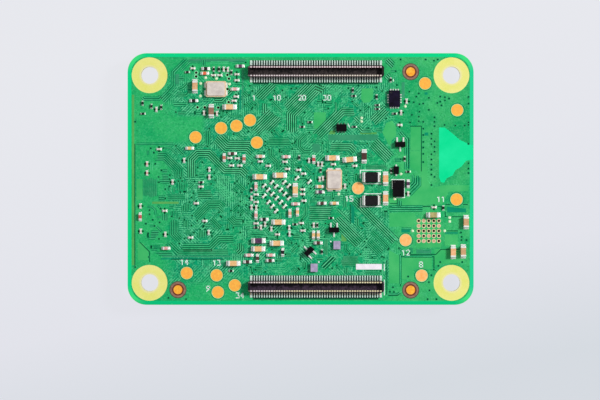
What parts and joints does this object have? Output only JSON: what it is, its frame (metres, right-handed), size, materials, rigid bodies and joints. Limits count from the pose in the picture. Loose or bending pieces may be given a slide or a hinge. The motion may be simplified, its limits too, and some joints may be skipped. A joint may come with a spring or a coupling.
{
  "type": "compute module",
  "caption": "Small rectangular computer board with two low contact headers on one face, a processor under a metal lid on the other, and a mounting hole in each corner.",
  "frame": {"origin": "on the plane of the processor lid's face, under the middle of the board", "axes": "+X along the board's length, +Y along its width, +Z out of the connector side, which faces up"},
  "size_m": [0.055, 0.04, 0.0047],
  "materials": {
    "laminate": "satin bare glass laminate",
    "solder_mask": "glossy green solder mask",
    "gold_pads": "matt gold plating",
    "via_plating": "dull plating",
    "solder": "bright solder",
    "header_moulding": "black moulded polymer",
    "contact_plating": "plated contact strip",
    "tin_plating": "bright tin",
    "chip_moulding": "black epoxy moulding",
    "bare_silicon": "ground silicon",
    "crystal_ceramic": "pale brown ceramic",
    "crystal_metal": "satin lid",
    "inductor_ferrite": "black ferrite",
    "end_caps": "tinned and soldered",
    "capacitor_ceramic": "tan ceramic",
    "resistor_film": "black glaze",
    "processor_metal": "nickel-plated copper",
    "chip_substrate": "green substrate",
    "can_sheet": "tinned sheet",
    "socket_plastic": "ivory polymer",
    "socket_gold": "gold plating",
    "led_lens": "clear yellowish resin"
  },
  "bodies": {
    "root": {"circuit_board": "laminate", "connector_side_mask": "solder_mask", "component_side_mask": "solder_mask", "test_pads": "gold_pads", "fiducial_pads": "gold_pads", "via_rings": "via_plating", "solder_dots": "solder", "header_a_housing": "header_moulding", "header_a_contacts": "contact_plating", "header_a_tabs": "tin_plating", "header_b_housing": "header_moulding", "header_b_contacts": "contact_plating", "header_b_tabs": "tin_plating", "switch_chip": "chip_moulding", "switch_chip_lands": "solder", "logic_chip": "chip_moulding", "logic_chip_lands": "solder", "regulator": "chip_moulding", "transistor_bodies": "chip_moulding", "transistor_leads": "tin_plating", "bare_chips": "bare_silicon", "diode_body": "chip_moulding", "diode_leads": "tin_plating", "crystal_bases": "crystal_ceramic", "crystal_lids": "crystal_metal", "crystal_lands": "solder", "inductor_cores": "inductor_ferrite", "inductor_ends": "end_caps", "large_chip_bodies": "capacitor_ceramic", "large_chip_ends": "end_caps", "medium_chip_bodies": "capacitor_ceramic", "medium_chip_ends": "end_caps", "small_capacitor_bodies": "capacitor_ceramic", "small_capacitor_ends": "end_caps", "resistor_bodies": "resistor_film", "resistor_ends": "end_caps", "processor_lid": "processor_metal", "processor_substrate": "chip_substrate", "processor_balls": "solder", "memory_chip": "chip_moulding", "memory_balls": "solder", "flash_chip": "chip_moulding", "flash_balls": "solder", "network_chip": "chip_moulding", "network_chip_lands": "solder", "power_chip": "chip_moulding", "power_chip_lands": "solder", "radio_can": "can_sheet", "radio_chip": "chip_moulding", "antenna_socket_base": "socket_plastic", "antenna_socket_ring": "socket_gold", "antenna_socket_pin": "socket_gold", "status_leds": "led_lens", "status_led_ends": "end_caps", "back_inductor_cores": "inductor_ferrite", "back_inductor_ends": "end_caps", "back_chip_bodies": "capacitor_ceramic", "back_chip_ends": "end_caps"}
  },
  "joints": []
}
